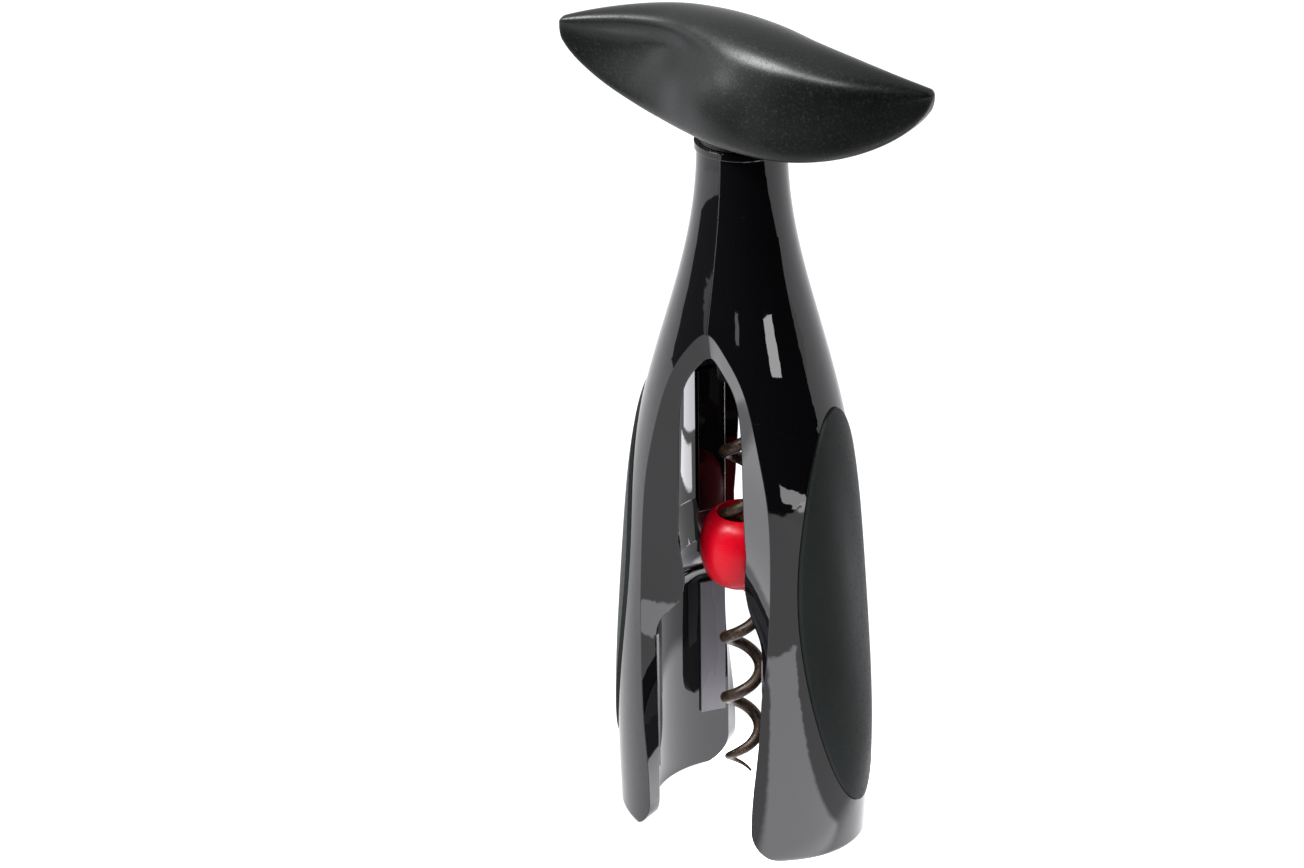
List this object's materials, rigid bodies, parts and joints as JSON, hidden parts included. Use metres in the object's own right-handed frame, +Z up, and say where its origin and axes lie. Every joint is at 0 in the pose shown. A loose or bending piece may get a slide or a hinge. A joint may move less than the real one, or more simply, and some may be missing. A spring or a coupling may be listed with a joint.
{
  "type": "tabletop self-pulling corkscrew",
  "caption": "Tabletop corkscrew: a two-legged black bell with open windows stands over the bottle, and a swept T-handle turns a long coated worm with a red ball on it.",
  "frame": {"origin": "on the axis of the worm, at the table plane under the two feet", "axes": "+Z up along the worm, X along the handle and through the two side grips, Y through the two open windows"},
  "size_m": [0.0802, 0.0354, 0.1673],
  "materials": {
    "housing": "high-gloss black",
    "grip": "fine matt soft-touch, dark grey",
    "wall_plate": "satin dark grey",
    "bush": "plain bearing plastic",
    "ring": "high-gloss black",
    "collar": "satin dark grey",
    "stem": "smooth black",
    "steel": "bright steel",
    "core": "satin dark grey",
    "skin": "fine matt soft-touch, near black",
    "coating": "dark bronze non-stick coating, slightly mottled",
    "ball": "satin red"
  },
  "bodies": {
    "housing": {"housing_half_right": "housing", "housing_half_left": "housing", "side_grip_right": "grip", "side_grip_left": "grip", "wall_bar_right_rear": "wall_plate", "wall_bar_left_rear": "wall_plate", "wall_bar_left_front": "wall_plate", "wall_bar_right_front": "wall_plate", "wall_panel_right_rear": "wall_plate", "wall_panel_left_rear": "wall_plate", "wall_panel_left_front": "wall_plate", "wall_panel_right_front": "wall_plate", "neck_bush": "bush", "neck_ring": "ring"},
    "lift_collar": {"lift_collar": "collar"},
    "handle": {"hub_stem": "stem", "snap_ring": "steel", "handle_pin": "steel", "handle_core": "core", "handle_skin": "skin", "worm": "coating"},
    "ball": {"ball": "ball"}
  },
  "joints": [
    {"name": "handle_lift", "type": "slide", "parent": "housing", "child": "lift_collar", "axis": [0, 0, 1], "range_m": [0, 0.042]},
    {"name": "handle_turn", "type": "hinge", "parent": "lift_collar", "child": "handle", "pos_m": [0, 0, 0.1444], "axis": [0, 0, 1], "range_deg": [-300, 1116]},
    {"name": "ball_travel", "type": "slide", "parent": "lift_collar", "child": "ball", "axis": [0, 0, 1], "range_m": [-0.0419, 0.0113]}
  ],
  "couplings": [
    {"joint": "ball_travel", "follows": "handle_turn", "m_per_rad": -0.0021486}
  ]
}
